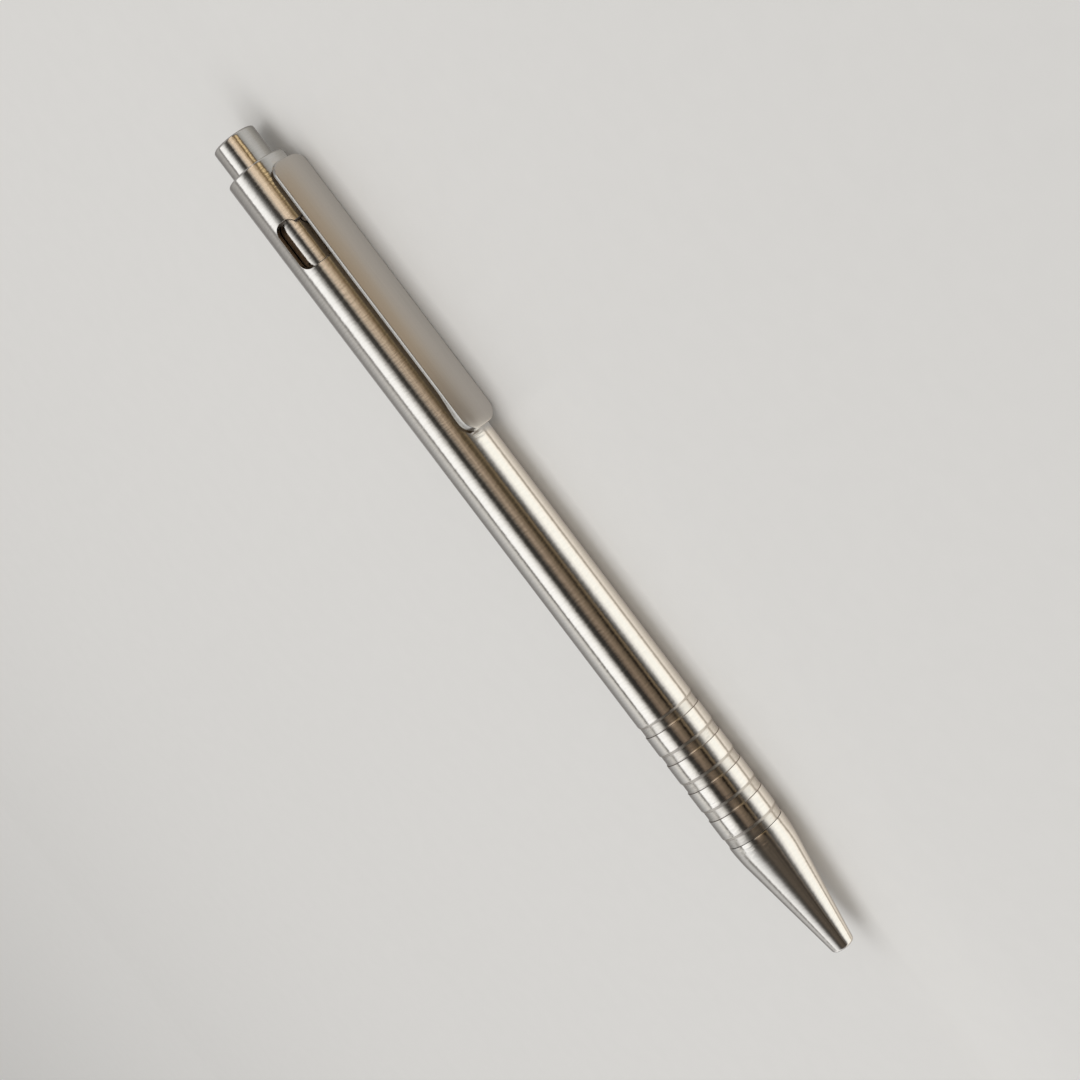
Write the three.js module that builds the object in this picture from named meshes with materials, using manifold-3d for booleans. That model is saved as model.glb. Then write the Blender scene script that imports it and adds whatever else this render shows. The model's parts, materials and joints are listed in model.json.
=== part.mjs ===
// Bolt action pen, in millimetres, lying on its clip's edge: the point faces +X and +Z is up.
// The clip is the bolt's handle. Its post stands in the plunger through the window in the barrel, so pushing the
// button slides clip, plunger and refill forward, and swinging the clip hooks the post behind the window's ear.
import * as THREE from 'three';
import { mergeVertices } from 'three/addons/utils/BufferGeometryUtils.js';
import Module from 'manifold-3d';

const wasm = await Module();
wasm.setup();

// Everything is sized from the refill outwards. Stations are measured from the button's rear face to the point.

// Gel refill.
const refillLength = 110.5;
const tubeRadius = 3;
const tubeWall = 0.45;
const tubeFit = 0.05;
const plugFlange = 1;
const plugShank = 3.4;
const ventRadius = 0.6;
const inkLength = 52.6;
const greaseLength = 6;
const shoulderFromPoint = 18.2;
const shoulderThickness = 0.55;
const holderShank = 5;
const holderNoseRadius = 1.65;
const holderNoseLength = 5.5;
const channelRadius = 0.45;
const pointRadius = 1.13;
const pointShankRadius = 0.8;
const pointShankLength = 3;
const pointConeLength = 3.35;
const pointRimWall = 0.11;
const ballRadius = 0.35;
const ballPlay = 0.04;
const ballProud = 0.25;

// Bolt: the clip's post, how far it is pushed, and how it hooks behind the ear.
const boltTravel = 5;
const earDepth = 1.15;
const swingAngle = 65.6;
const postLength = 6.25;
const postWidth = 3.3;
const postEndPlay = 0.15;
const postSidePlay = 0.2;
const postReach = 1.2;
const pocketFloorPlay = 0.15;
const channelPlay = 0.22;
const windowCorner = 1.6;

// Plunger, whose rear end is the button.
const plungerLength = 34.3;
const plungerPlay = 0.12;
const buttonOut = 5.2;
const buttonEdge = 0.4;
const refillGap = 0.3;

// Lock screw in the plunger's front, its cone in the post.
const lockRadius = 1.45;
const lockLength = 6.3;
const lockPlay = 0.15;
const coneDepth = 0.9;
const conePlay = 0.25;
const hexAcrossFlats = 1.5;
const hexDepth = 1.6;

// Nose cone.
const noseLength = 21.64;
const noseLand = 8.4;
const noseArcRadius = 28;
const noseTipWall = 0.56;
const noseTipRoundShare = 0.9;
const noseBorePlay = 0.3;
const shoulderPlay = 0.6;
const pointPlay = 0.12;
const pointRecess = 1.3;
const seam = 0.05;
const threadLength = 7.6;
const threadWall = 0.55;
const threadPlay = 0.15;
const threadRelief = 0.7;
const sealNeckLength = 0.8;
const sealNeckDepth = 0.3;

// Barrel.
const mouthWall = 0.75;
const boreWall = 1.18;
const rimRadius = 0.4;
const smallEdge = 0.15;
const windowSetback = 5.05;

// Grip grooves. The last one runs out at the seam with the nose.
const grooveCount = 5;
const groovePitch = 5.11;
const grooveWidth = 1.89;
const grooveDepth = 0.15;
const grooveRamp = 0.25;
const grooveRunout = 1.69;

// Clip.
const clipSetback = 1.92;
const clipLength = 46.88;
const clipWidth = 6.92;
const clipThickness = 0.63;
const clipGap = 0.67;
const clipRearCorner = 2;
const clipFrontCorner = 2.4;
const clipChamfer = 0.12;
const footLength = 3.2;
const footRamp = 4;
const footGap = 0.2;

// Rubber rings.
const rearRingSetback = 2.45;
const rearRingSection = 0.26;
const frontRingSetback = 2.8;
const frontRingSection = 0.24;
const noseSealSection = 0.26;
const ringPlay = 0.06;
const ringGrooveSpare = 0.3;

// Return spring between the refill's shoulder and the ledge in the nose.
const springWire = 0.18;
const springInnerPlay = 0.15;
const springOuterPlay = 0.34;
const springEndPlay = 0.15;
const springTurns = 8;
const springEndTurn = 0.82;
const springGapWanted = 0.4;

// Steps of the round shapes, and how far a cut runs past what it cuts.
const roundSteps = 48;
const smallSteps = 32;
const tinySteps = 16;
const ringSteps = 8;
const arcSteps = 4;
const springSteps = 10;
const springSides = 5;
const hexSides = 6;
const overrun = 2;

// Radii from the refill outwards.
const radians = THREE.MathUtils.degToRad;
const tubeInner = tubeRadius - tubeWall;
const fillRadius = tubeInner - tubeFit;
const noseBoreRadius = tubeRadius + noseBorePlay;
const threadRadius = noseBoreRadius + threadWall;
const threadBore = threadRadius + threadPlay;
const barrelRadius = threadBore + mouthWall;
const boreRadius = barrelRadius - boreWall;
const plungerRadius = boreRadius - plungerPlay;
const lockBoreRadius = lockRadius + lockPlay;
const neckRadius = threadRadius - sealNeckDepth;
const mouthRadius = neckRadius + 2 * (noseSealSection + ringPlay);
const holeRadius = pointRadius + pointPlay;
const springRadius = holderNoseRadius + springInnerPlay + springWire;
const springBoreRadius = springRadius + springWire + springOuterPlay;

// Stations along the pen.
const refillRear = plungerLength + refillGap;
const refillFront = refillRear + refillLength;
const penLength = refillFront + pointRecess;
const noseRear = penLength - noseLength;
const barrelFront = noseRear - seam;
const threadRear = noseRear - threadLength;
const ledge = penLength - noseLand;
const shoulder = refillFront - shoulderFromPoint;
const noseBoreEnd = shoulder + boltTravel + shoulderPlay;
const tubeRear = refillRear + plugFlange + tubeFit;
const tubeFront = shoulder - shoulderThickness - tubeFit;
const holderRear = tubeFront + tubeFit - holderShank;
const holderFront = shoulder + holderNoseLength;
const inkFront = holderRear - tubeFit;
const inkRear = inkFront - inkLength;
const tipRim = refillFront - ballProud;
const ballMiddle = refillFront - ballRadius;
const windowRear = buttonOut + windowSetback;
const windowFront = windowRear + postLength + 2 * postEndPlay + boltTravel;
const windowWidth = postWidth + 2 * postSidePlay;
const earRear = windowFront - postLength - 2 * postEndPlay - earDepth;
const channelRear = windowFront - postLength - 2 * channelPlay;
const postRear = windowRear + postEndPlay;
const postFront = postRear + postLength;
const clipRear = buttonOut + clipSetback;
const clipFront = clipRear + clipLength;
const rearRingPlace = buttonOut + rearRingSetback;
const frontRingPlace = plungerLength - frontRingSetback;
const noseSealPlace = barrelFront - sealNeckLength / 2;
const grooveFirst = barrelFront - grooveRunout - (grooveCount - 1) * groovePitch;

// Heights above the pen's axis on the clip's side, and how the pen lies on its clip's edge.
const clipUnder = barrelRadius + clipGap;
const clipOuter = clipUnder + clipThickness;
const footUnder = barrelRadius + footGap;
const restEdge = Math.hypot(clipOuter - clipChamfer, clipWidth / 2);
const clipFromDown = Math.acos(barrelRadius / restEdge) + Math.atan2(clipWidth / 2, clipOuter - clipChamfer);
const layTurn = clipFromDown - Math.PI;

// One closed skin of merged corners, without the flat triangles that a pole leaves.
function skin(geometry) {
  const bare = geometry.clone();
  bare.deleteAttribute('normal');
  bare.deleteAttribute('uv');
  const merged = mergeVertices(bare);
  const index = merged.index.array;
  const kept = [];
  for (let i = 0; i < index.length; i += 3) {
    const [a, b, c] = [index[i], index[i + 1], index[i + 2]];
    if (a !== b && b !== c && c !== a) kept.push(a, b, c);
  }
  merged.setIndex(kept);
  return merged;
}

function solid(geometry) {
  const closed = skin(geometry);
  const vertProperties = new Float32Array(closed.attributes.position.array);
  const triVerts = new Uint32Array(closed.index.array);
  return new wasm.Manifold(new wasm.Mesh({ numProp: 3, vertProperties, triVerts }));
}

function surface(manifold) {
  const mesh = manifold.getMesh();
  const geometry = new THREE.BufferGeometry();
  geometry.setAttribute('position', new THREE.BufferAttribute(mesh.vertProperties, 3));
  geometry.setIndex(new THREE.BufferAttribute(mesh.triVerts, 1));
  return geometry;
}

// A profile of [station, radius] pairs turned about the pen's axis. Its corners lie on the laid pen's own axes.
function turned(profile, steps = roundSteps) {
  const points = profile.map(([station, radius]) => new THREE.Vector2(radius, station));
  return new THREE.LatheGeometry(points, steps).rotateZ(-Math.PI / 2).rotateX(-layTurn);
}

// Stations and radii along a round edge, from one angle to another about a centre.
function arc(station, radius, size, from, to, steps = arcSteps) {
  const points = [];
  for (let i = 0; i <= steps; i += 1) {
    const angle = radians(from + (to - from) * i / steps);
    points.push([station + size * Math.cos(angle), radius + size * Math.sin(angle)]);
  }
  return points;
}

function rubberRing(station, radius, section) {
  return turned(arc(station, radius, section, 180, -180, ringSteps), smallSteps);
}

// A rounded rectangle from rear to front, half a width either side of the axis.
function roundedOutline(rear, front, width, rearCorner, frontCorner) {
  const half = width / 2;
  const outline = new THREE.Shape();
  outline.moveTo(rear + rearCorner, -half);
  outline.lineTo(front - frontCorner, -half);
  outline.absarc(front - frontCorner, frontCorner - half, frontCorner, -Math.PI / 2, 0, false);
  outline.lineTo(front, half - frontCorner);
  outline.absarc(front - frontCorner, half - frontCorner, frontCorner, 0, Math.PI / 2, false);
  outline.lineTo(rear + rearCorner, half);
  outline.absarc(rear + rearCorner, half - rearCorner, rearCorner, Math.PI / 2, Math.PI, false);
  outline.lineTo(rear, rearCorner - half);
  outline.absarc(rear + rearCorner, rearCorner - half, rearCorner, Math.PI, 1.5 * Math.PI, false);
  return outline;
}

// An outline in the clip's plane, raised from one height above the pen's axis to another.
function raised(outline, low, high) {
  const settings = { depth: high - low, bevelEnabled: false, curveSegments: arcSteps };
  return new THREE.ExtrudeGeometry(outline, settings).translate(0, 0, low);
}

function barrel() {
  const rim = Math.min(rimRadius, boreWall - smallEdge);
  const ringHalf = rearRingSection + ringGrooveSpare;
  const ringRoom = plungerRadius + 2 * (rearRingSection + ringPlay);
  const grooveFloor = barrelRadius - grooveDepth;
  const mouthRear = barrelFront - sealNeckLength - threadPlay;
  const outside = [];
  for (let i = 0; i < grooveCount; i += 1) {
    const rear = grooveFirst + i * groovePitch;
    const front = rear + grooveWidth;
    outside.push([rear, barrelRadius], [rear + grooveRamp, grooveFloor]);
    if (front < barrelFront) outside.push([front - grooveRamp, grooveFloor], [front, barrelRadius]);
  }
  outside.push([barrelFront, grooveRunout < grooveWidth ? grooveFloor : barrelRadius]);
  const profile = [
    [buttonOut, boreRadius + smallEdge],
    ...arc(buttonOut + rim, barrelRadius - rim, rim, 180, 90),
    ...outside,
    [barrelFront, mouthRadius],
    [mouthRear, mouthRadius],
    [mouthRear, threadBore],
    [threadRear - threadRelief, threadBore],
    [threadRear - threadRelief, boreRadius],
    [rearRingPlace + ringHalf, boreRadius],
    [rearRingPlace + ringHalf, ringRoom],
    [rearRingPlace - ringHalf, ringRoom],
    [rearRingPlace - ringHalf, boreRadius],
    [buttonOut + smallEdge, boreRadius],
    [buttonOut, boreRadius + smallEdge],
  ];
  return surface(solid(turned(profile)).subtract(boltWindow()));
}

function boltWindow() {
  const outer = barrelRadius + overrun;
  const swing = radians(swingAngle);
  const longLane = roundedOutline(windowRear, windowFront, windowWidth, windowCorner, windowCorner);
  const earLane = roundedOutline(earRear, windowFront, windowWidth, windowCorner, windowCorner);
  const wedge = new THREE.Shape();
  wedge.moveTo(0, 0);
  for (const angle of [0, swing / 2, swing]) wedge.lineTo(-outer * Math.sin(angle), outer * Math.cos(angle));
  wedge.closePath();
  const channel = new THREE.ExtrudeGeometry(wedge, { depth: windowFront - channelRear, bevelEnabled: false })
    .rotateX(Math.PI / 2)
    .rotateZ(Math.PI / 2)
    .translate(channelRear, 0, 0);
  return solid(raised(longLane, 0, outer))
    .add(solid(raised(earLane, 0, outer).rotateX(swing)))
    .add(solid(channel));
}

function boltPlunger() {
  const ringHalf = frontRingSection + ringGrooveSpare;
  const ringFloor = boreRadius - 2 * (frontRingSection + ringPlay);
  const postMiddle = (postRear + postFront) / 2;
  const profile = [
    [0, 0],
    ...arc(buttonEdge, plungerRadius - buttonEdge, buttonEdge, 180, 90),
    [frontRingPlace - ringHalf, plungerRadius],
    [frontRingPlace - ringHalf, ringFloor],
    [frontRingPlace + ringHalf, ringFloor],
    [frontRingPlace + ringHalf, plungerRadius],
    [plungerLength - smallEdge, plungerRadius],
    [plungerLength, plungerRadius - smallEdge],
    [plungerLength, lockBoreRadius],
    [postMiddle, lockBoreRadius],
    [postMiddle, 0],
  ];
  const width = postWidth + 2 * postEndPlay;
  const corner = width / 2 - smallEdge;
  const outline = roundedOutline(postRear - postEndPlay, postFront + postEndPlay, width, corner, corner);
  const pocket = raised(outline, -postReach - pocketFloorPlay, plungerRadius + overrun);
  return surface(solid(turned(profile)).subtract(solid(pocket)));
}

// The blade's plan, chamfered round its outer face, cut by the side view that gives its thickness and foot.
function clip() {
  const outline = roundedOutline(
    clipRear + clipChamfer,
    clipFront - clipChamfer,
    clipWidth - 2 * clipChamfer,
    clipRearCorner - clipChamfer,
    clipFrontCorner - clipChamfer,
  );
  const low = footUnder - overrun;
  const plan = new THREE.ExtrudeGeometry(outline, {
    depth: clipOuter - low - clipChamfer,
    bevelThickness: clipChamfer,
    bevelSize: clipChamfer,
    bevelSegments: 1,
    curveSegments: 2 * arcSteps,
  }).translate(0, 0, low);
  const side = new THREE.Shape();
  side.moveTo(clipRear - overrun, clipUnder);
  side.lineTo(clipFront - footLength - footRamp, clipUnder);
  side.lineTo(clipFront - footLength, footUnder);
  side.lineTo(clipFront + overrun, footUnder);
  side.lineTo(clipFront + overrun, clipOuter + overrun);
  side.lineTo(clipRear - overrun, clipOuter + overrun);
  side.closePath();
  const band = new THREE.ExtrudeGeometry(side, { depth: clipWidth + 2 * overrun, bevelEnabled: false })
    .rotateX(Math.PI / 2)
    .translate(0, clipWidth / 2 + overrun, 0);
  const corner = postWidth / 2 - smallEdge;
  const foot = roundedOutline(postRear, postFront, postWidth, corner, corner);
  const dimple = turned([
    [postFront - coneDepth, 0],
    [postFront + overrun, coneDepth + overrun],
    [postFront + overrun, 0],
  ], tinySteps);
  const blade = solid(plan).intersect(solid(band));
  const post = solid(raised(foot, -postReach, clipUnder + clipThickness / 2)).subtract(solid(dimple));
  return surface(blade.add(post));
}

function lockScrew() {
  const point = postFront - coneDepth + conePlay;
  const rear = point + lockLength;
  const profile = [
    [point, 0],
    [point + lockRadius - smallEdge, lockRadius - smallEdge],
    [point + lockRadius + smallEdge, lockRadius],
    [rear - smallEdge, lockRadius],
    [rear, lockRadius - smallEdge],
    [rear, 0],
  ];
  const corner = hexAcrossFlats / 2 / Math.cos(Math.PI / hexSides);
  const socket = new THREE.CylinderGeometry(corner, corner, hexDepth + overrun, hexSides)
    .rotateZ(Math.PI / 2)
    .translate(rear - (hexDepth - overrun) / 2, 0, 0);
  return surface(solid(turned(profile, smallSteps)).subtract(solid(socket)));
}

// The outside leaves the barrel's line on a wide arc and runs down a cone that touches it, to a rounded tip.
function noseCone() {
  const centre = barrelRadius - noseArcRadius;
  const tipRadius = holeRadius + noseTipWall;
  const toTip = Math.hypot(noseLength, tipRadius - centre);
  const touch = Math.atan2(tipRadius - centre, noseLength) + Math.acos(noseArcRadius / toTip);
  const coneFrom = THREE.MathUtils.radToDeg(touch);
  const slope = 1 / Math.tan(touch);
  const round = noseTipWall * noseTipRoundShare;
  const roundRadius = tipRadius + round * slope - round / Math.sin(touch);
  const profile = [
    [threadRear, noseBoreRadius],
    [threadRear, threadRadius - threadPlay],
    [threadRear + threadPlay, threadRadius],
    [barrelFront - sealNeckLength, threadRadius],
    [barrelFront - sealNeckLength, neckRadius],
    [noseRear, neckRadius],
    ...arc(noseRear, centre, noseArcRadius, 90, coneFrom),
    ...arc(penLength - round, roundRadius, round, coneFrom, 0),
    [penLength, holeRadius],
    [ledge, holeRadius],
    [ledge, springBoreRadius],
    [noseBoreEnd, springBoreRadius],
    [noseBoreEnd, noseBoreRadius],
    [threadRear, noseBoreRadius],
  ];
  return turned(profile);
}

function refillTube() {
  return turned([
    [tubeRear, tubeInner],
    [tubeRear, tubeRadius],
    [tubeFront, tubeRadius],
    [tubeFront, tubeInner],
    [tubeRear, tubeInner],
  ], smallSteps);
}

function tailPlug() {
  return turned([
    [refillRear, ventRadius],
    [refillRear, tubeRadius - smallEdge],
    [refillRear + smallEdge, tubeRadius],
    [refillRear + plugFlange, tubeRadius],
    [refillRear + plugFlange, fillRadius],
    [refillRear + plugFlange + plugShank, fillRadius],
    [refillRear + plugFlange + plugShank, ventRadius],
    [refillRear, ventRadius],
  ], smallSteps);
}

function filling(rear, front) {
  return turned([[rear, 0], [rear, fillRadius], [front, fillRadius], [front, 0]], smallSteps);
}

function tipHolder() {
  const socketRadius = pointShankRadius + tubeFit;
  const socketRear = holderFront - pointShankLength - tubeFit;
  return turned([
    [holderRear, channelRadius],
    [holderRear, fillRadius - smallEdge],
    [holderRear + smallEdge, fillRadius],
    [shoulder - shoulderThickness, fillRadius],
    [shoulder - shoulderThickness, tubeRadius],
    [shoulder - smallEdge, tubeRadius],
    [shoulder, tubeRadius - smallEdge],
    [shoulder, holderNoseRadius],
    [holderFront - smallEdge, holderNoseRadius],
    [holderFront, holderNoseRadius - smallEdge],
    [holderFront, socketRadius],
    [socketRear, socketRadius],
    [socketRear, channelRadius],
    [holderRear, channelRadius],
  ], smallSteps);
}

function writingPoint() {
  const shankRear = holderFront - pointShankLength;
  const pointRear = holderFront + tubeFit;
  const seatRadius = ballRadius + ballPlay;
  const seatRear = ballMiddle - seatRadius;
  const inkBore = ballRadius / 2;
  return turned([
    [shankRear, inkBore],
    [shankRear, pointShankRadius],
    [pointRear, pointShankRadius],
    [pointRear, pointRadius],
    [tipRim - pointConeLength, pointRadius],
    [tipRim, seatRadius + pointRimWall],
    [tipRim, seatRadius],
    [seatRear, seatRadius],
    [seatRear, inkBore],
    [shankRear, inkBore],
  ], tinySteps);
}

// One round wire, wound with close end turns, its ends cut square to the wire.
function returnSpring() {
  const rear = shoulder + springEndPlay + springWire;
  const front = ledge - springEndPlay - springWire;
  const openTurn = (front - rear - 2 * springEndTurn) / (springTurns - 2);
  const stationAt = (turn) => {
    if (turn < 1) return rear + springEndTurn * turn;
    if (turn > springTurns - 1) return front - springEndTurn * (springTurns - turn);
    return rear + springEndTurn + openTurn * (turn - 1);
  };
  const rings = springTurns * springSteps;
  const middles = [];
  const places = [];
  for (let i = 0; i <= rings; i += 1) {
    const turn = i / springSteps;
    const angle = 2 * Math.PI * turn;
    const outward = new THREE.Vector3(0, Math.cos(angle), Math.sin(angle));
    const middle = new THREE.Vector3(stationAt(turn), 0, 0).addScaledVector(outward, springRadius);
    middles.push(middle);
    for (let k = 0; k < springSides; k += 1) {
      const round = 2 * Math.PI * k / springSides;
      const point = middle.clone().addScaledVector(outward, springWire * Math.cos(round));
      point.x += springWire * Math.sin(round);
      places.push(...point);
    }
  }
  const faces = [];
  for (let i = 0; i < rings; i += 1) {
    for (let k = 0; k < springSides; k += 1) {
      const a = i * springSides + k;
      const b = i * springSides + (k + 1) % springSides;
      faces.push(a, a + springSides, b, b, a + springSides, b + springSides);
    }
  }
  for (let k = 1; k < springSides - 1; k += 1) {
    const last = rings * springSides;
    faces.push(0, k, k + 1, last, last + k + 1, last + k);
  }
  let least = Infinity;
  middles.forEach((one, i) => middles.forEach((other, j) => {
    if (j - i > springSteps / 2) least = Math.min(least, one.distanceTo(other));
  }));
  const gap = least - 2 * springWire;
  console.log(`return spring: least gap to itself ${gap.toFixed(2)} mm, wanted over ${springGapWanted}`);
  const geometry = new THREE.BufferGeometry();
  geometry.setAttribute('position', new THREE.Float32BufferAttribute(places, 3));
  geometry.setIndex(faces);
  return geometry;
}

const finishes = {
  turnedMetal: { color: 0xc7beb0, roughness: 0.3, metalness: 1 },
  blastedMetal: { color: 0x80796f, roughness: 0.5, metalness: 1 },
  springSteel: { color: 0xa8a8a6, roughness: 0.3, metalness: 1 },
  blackenedSteel: { color: 0x2c2c2e, roughness: 0.45, metalness: 1 },
  nickelSilver: { color: 0xb9b09a, roughness: 0.25, metalness: 1 },
  hardBall: { color: 0x8a8a8c, roughness: 0.15, metalness: 1 },
  rubber: { color: 0x161616, roughness: 0.8, metalness: 0 },
  clearPlastic: { color: 0xdfe3e4, roughness: 0.2, metalness: 0 },
  whitePlastic: { color: 0xe6e4dd, roughness: 0.45, metalness: 0 },
  darkPlastic: { color: 0x25262a, roughness: 0.4, metalness: 0 },
  ink: { color: 0x0b0c12, roughness: 0.3, metalness: 0 },
  grease: { color: 0xcfc9a8, roughness: 0.35, metalness: 0 },
};

const pen = new THREE.Group();

function piece(name, geometry, finish) {
  const shown = skin(geometry);
  shown.computeVertexNormals();
  const mesh = new THREE.Mesh(shown, new THREE.MeshStandardMaterial(finishes[finish]));
  mesh.name = name;
  pen.add(mesh);
}

const rearRingMiddle = plungerRadius + rearRingSection + ringPlay;
const frontRingMiddle = boreRadius - frontRingSection - ringPlay;
const noseSealMiddle = neckRadius + noseSealSection + ringPlay;

piece('barrel', barrel(), 'turnedMetal');
piece('bolt_plunger', boltPlunger(), 'turnedMetal');
piece('clip', clip(), 'blastedMetal');
piece('lock_screw', lockScrew(), 'blackenedSteel');
piece('rear_ring', rubberRing(rearRingPlace, rearRingMiddle, rearRingSection), 'rubber');
piece('front_ring', rubberRing(frontRingPlace, frontRingMiddle, frontRingSection), 'rubber');
piece('nose_cone', noseCone(), 'turnedMetal');
piece('nose_seal', rubberRing(noseSealPlace, noseSealMiddle, noseSealSection), 'rubber');
piece('return_spring', returnSpring(), 'springSteel');
piece('refill_tail_plug', tailPlug(), 'whitePlastic');
piece('refill_tube', refillTube(), 'clearPlastic');
piece('grease_follower', filling(inkRear - tubeFit - greaseLength, inkRear - tubeFit), 'grease');
piece('ink_column', filling(inkRear, inkFront), 'ink');
piece('tip_holder', tipHolder(), 'darkPlastic');
piece('writing_point', writingPoint(), 'nickelSilver');
const ball = new THREE.SphereGeometry(ballRadius, tinySteps, ringSteps).translate(ballMiddle, 0, 0);
piece('writing_ball', ball, 'hardBall');

// Laid down: the clip's lower edge and the barrel both touch the surface, and the box's middle is over the origin.
const clipOut = clipOuter * Math.sin(clipFromDown) + (clipWidth / 2 - clipChamfer) * Math.cos(clipFromDown);
pen.rotation.x = layTurn;
pen.position.set(-penLength / 2, (barrelRadius - clipOut) / 2, barrelRadius);

export default pen;
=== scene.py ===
import json
import math

import bmesh
import bpy
from mathutils import Matrix, Vector


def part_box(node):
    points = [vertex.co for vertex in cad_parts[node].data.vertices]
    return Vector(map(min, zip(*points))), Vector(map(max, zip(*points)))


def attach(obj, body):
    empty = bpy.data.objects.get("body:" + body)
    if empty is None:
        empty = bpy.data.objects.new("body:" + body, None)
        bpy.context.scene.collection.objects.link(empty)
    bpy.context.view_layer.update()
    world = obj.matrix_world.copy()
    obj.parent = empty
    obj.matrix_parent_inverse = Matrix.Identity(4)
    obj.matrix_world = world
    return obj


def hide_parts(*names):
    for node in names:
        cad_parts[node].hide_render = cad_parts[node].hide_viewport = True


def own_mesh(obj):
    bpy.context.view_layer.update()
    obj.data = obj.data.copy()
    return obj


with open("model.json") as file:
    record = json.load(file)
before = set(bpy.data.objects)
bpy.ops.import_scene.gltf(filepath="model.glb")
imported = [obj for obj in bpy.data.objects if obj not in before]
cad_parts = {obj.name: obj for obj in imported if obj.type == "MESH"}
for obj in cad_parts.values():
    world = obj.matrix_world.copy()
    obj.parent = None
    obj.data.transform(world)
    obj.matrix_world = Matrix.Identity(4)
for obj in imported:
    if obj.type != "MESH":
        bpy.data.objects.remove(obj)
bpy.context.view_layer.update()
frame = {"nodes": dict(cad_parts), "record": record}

# Pieces are drawn in millimetres on the pen's own axis: x is the station from the button's rear face, and the
# clip is at +z. The matrix layDown puts them where the frame has them.
clipNormal = next(m for m in frame["record"]["mounts"] if m["name"] == "clip_face")["axis"]
layTurn = math.atan2(-clipNormal[1], clipNormal[2])
low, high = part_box("bolt_plunger")
axisPlace = (low + high) / 2
penPlace = Vector((low.x, axisPlace.y, axisPlace.z))
layDown = Matrix.Translation(penPlace) @ Matrix.Rotation(layTurn, 4, "X") @ Matrix.Scale(0.001, 4)
penTurn = Matrix.Rotation(layTurn, 4, "X")


# The stations of a node's rear and front ends.
def reach(node):
    low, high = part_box(node)
    return (low.x - penPlace.x) * 1000, (high.x - penPlace.x) * 1000


# Shader maths on sockets, written as plain expressions.
class Value:
    def __init__(self, finish, socket):
        self.finish, self.socket = finish, socket

    def __add__(self, other):
        return self.finish.maths("ADD", self, other)

    def __sub__(self, other):
        return self.finish.maths("SUBTRACT", self, other)

    def __rsub__(self, other):
        return self.finish.maths("SUBTRACT", other, self)

    def __mul__(self, other):
        return self.finish.maths("MULTIPLY", self, other)

    __radd__ = __add__
    __rmul__ = __mul__


class Finish:
    def __init__(self, name, **fixed):
        self.material = bpy.data.materials.new(name)
        self.material.use_nodes = True
        self.tree = self.material.node_tree
        self.shader = self.tree.nodes["Principled BSDF"]
        for socket, amount in fixed.items():
            self.shader.inputs[socket.replace("_", " ")].default_value = amount

    def node(self, kind, settings=None, values=None, output=0):
        made = self.tree.nodes.new(kind)
        for name, setting in (settings or {}).items():
            if name == "stops":
                ramp = made.color_ramp.elements
                ramp[0].color, ramp[-1].color = (*setting[0][1], 1), (*setting[-1][1], 1)
                for place, colour in setting[1:-1]:
                    ramp.new(place).color = (*colour, 1)
            else:
                setattr(made, name, setting)
        for name, value in (values or {}).items():
            value = getattr(value, "socket", value)
            if isinstance(value, bpy.types.NodeSocket):
                self.tree.links.new(value, made.inputs[name])
            else:
                made.inputs[name].default_value = value
        return Value(self, made.outputs[output])

    def maths(self, operation, *numbers):
        return self.node("ShaderNodeMath", {"operation": operation}, dict(enumerate(numbers)))

    def place(self, scale=(1, 1, 1), turned=True):
        where = self.node("ShaderNodeTexCoord", output="Object")
        turn = penTurn.inverted().to_euler() if turned else (0, 0, 0)
        return self.node("ShaderNodeMapping", None, {"Vector": where, "Rotation": turn, "Scale": scale})

    def noise(self, where, size, detail=3, roughness=0.5):
        values = {"Vector": where, "Scale": size, "Detail": detail, "Roughness": roughness}
        return self.node("ShaderNodeTexNoise", None, values)

    def ringed(self, drawn, size, detail=3, roughness=0.5):
        return self.noise(self.place((1, drawn, drawn)), size, detail, roughness)

    def blend(self, one, other, otherShare):
        return one * (1 - otherShare) + other * otherShare

    def mix(self, share, one, other):
        values = {0: share, 6: one, 7: other}
        return self.node("ShaderNodeMix", {"data_type": "RGBA"}, values, output=2)

    def between(self, value, low, high, toLow, toHigh):
        values = {"Value": value, "From Min": low, "From Max": high, "To Min": toLow, "To Max": toHigh}
        return self.node("ShaderNodeMapRange", None, values)

    # Ramps over a number, each as (from, to, rise). Their rises add up.
    def rising(self, number, ramps):
        slopes = [self.between(number, start, end, 0, rise) for start, end, rise in ramps]
        return sum(slopes[1:], slopes[0])

    def bump(self, height, distance):
        return self.node("ShaderNodeBump", None, {"Height": height, "Distance": distance, "Strength": 1.0})

    def feed(self, **sockets):
        for name, value in sockets.items():
            self.tree.links.new(value.socket, self.shader.inputs[name.replace("_", " ")])
        return self.material


# Noise keeps near the middle of 0 to 1, so this part of it is spread over a whole range.
latheMiddle = (0.36, 0.64)
wornMiddle = (0.35, 0.65)
grainRough = 0.6

# Bare metal as a lathe leaves it: fine rings round the pen, each a little brighter, rougher or deeper than
# the next. A size says how fine a grain is, and a drawn grain is longer round the pen than along it.
turnedLook = {
    "pale": (0.98, 0.965, 0.945, 1), "deep": (0.92, 0.905, 0.88, 1), "roughLow": 0.05, "roughHigh": 0.17,
    "ringSize": 7000, "ringDrawn": 0.12, "ringDepth": 0.000007,
    "bandCoarser": 9, "bandDrawn": 0.08, "bandShare": 0.1,
    "facetScale": 0.4, "facetDrawn": 0.25, "facetDepth": 3.4, "handling": 140, "handShare": 0.4,
}


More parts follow.
